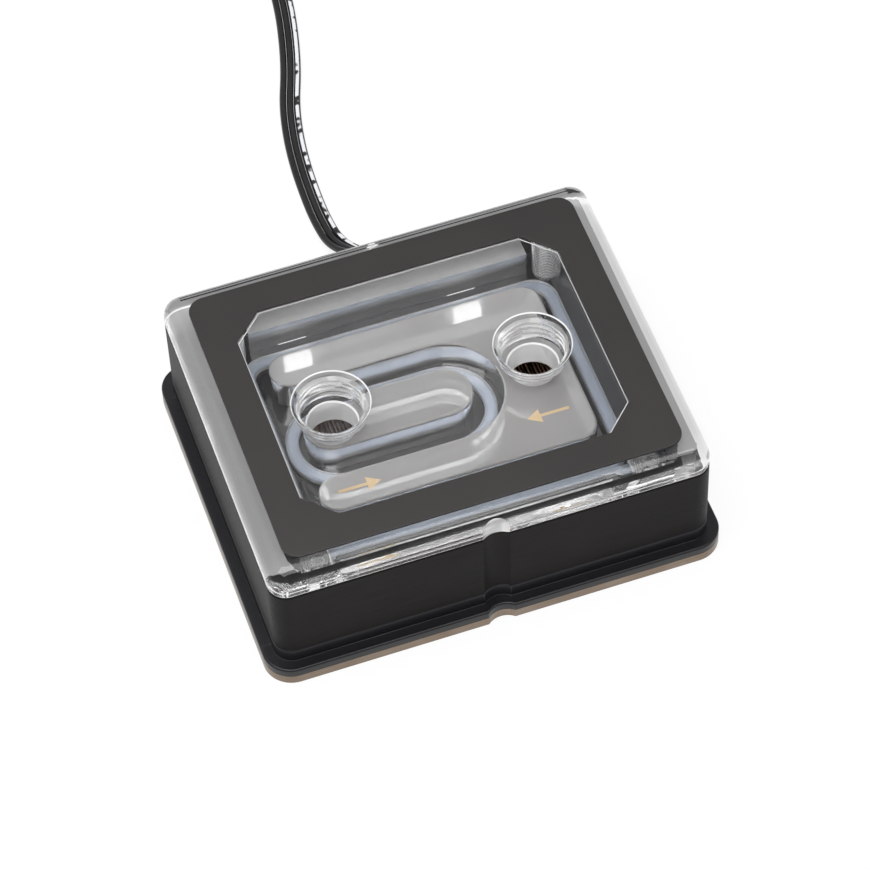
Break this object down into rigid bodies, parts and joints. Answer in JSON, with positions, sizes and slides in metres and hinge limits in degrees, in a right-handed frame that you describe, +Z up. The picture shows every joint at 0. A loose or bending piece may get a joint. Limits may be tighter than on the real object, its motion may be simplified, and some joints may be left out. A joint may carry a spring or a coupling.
{
  "type": "liquid cooling cold plate",
  "caption": "Processor water block: finned copper base, black frame and body, clear channel top with threaded inlet and outlet ports, light strip and short lead.",
  "frame": {"origin": "middle of the copper contact face", "axes": "+Z up from the contact face through the ports, +X along the long side from the inlet port to the outlet port, +Y towards the lead's exit"},
  "size_m": [0.1089, 0.2059, 0.029],
  "materials": {
    "copper": "lapped copper with darkened skived fins",
    "black_frame": "milled black acetal, satin",
    "black_body": "milled black acetal, satin",
    "black_cover": "fine matt black anodised sheet",
    "flow_plate": "black plastic sheet",
    "clear_acrylic": "clear acrylic, polished outside, milled channels frosted",
    "seal": "pale silicone rubber",
    "tape": "black double-sided tape",
    "screw_steel": "stainless steel",
    "board": "white solder mask",
    "led_white": "white LED package",
    "chip": "ceramic chip parts",
    "solder_copper": "bare copper pads",
    "grommet": "black rubber",
    "lead_black": "black PVC insulation",
    "tie_black": "black nylon band",
    "plug_black": "black moulded nylon",
    "contact_tin": "tin-plated contacts"
  },
  "bodies": {
    "root": {"cold_plate": "copper", "mounting_frame": "black_frame", "base_o_ring": "seal", "flow_plate": "flow_plate", "body_ring": "black_body", "acrylic_top": "clear_acrylic", "outer_o_ring": "seal", "inlet_o_ring": "seal", "cover_tape": "tape", "cover_plate": "black_cover", "clamp_screws": "screw_steel", "led_board": "board", "leds": "led_white", "board_chips": "chip", "solder_pads": "solder_copper", "lead_tails": "lead_black", "cable_grommet": "grommet", "lead": "lead_black", "lead_coil": "lead_black", "coil_tie": "tie_black", "lead_plug": "plug_black", "plug_contacts": "contact_tin"}
  },
  "joints": []
}
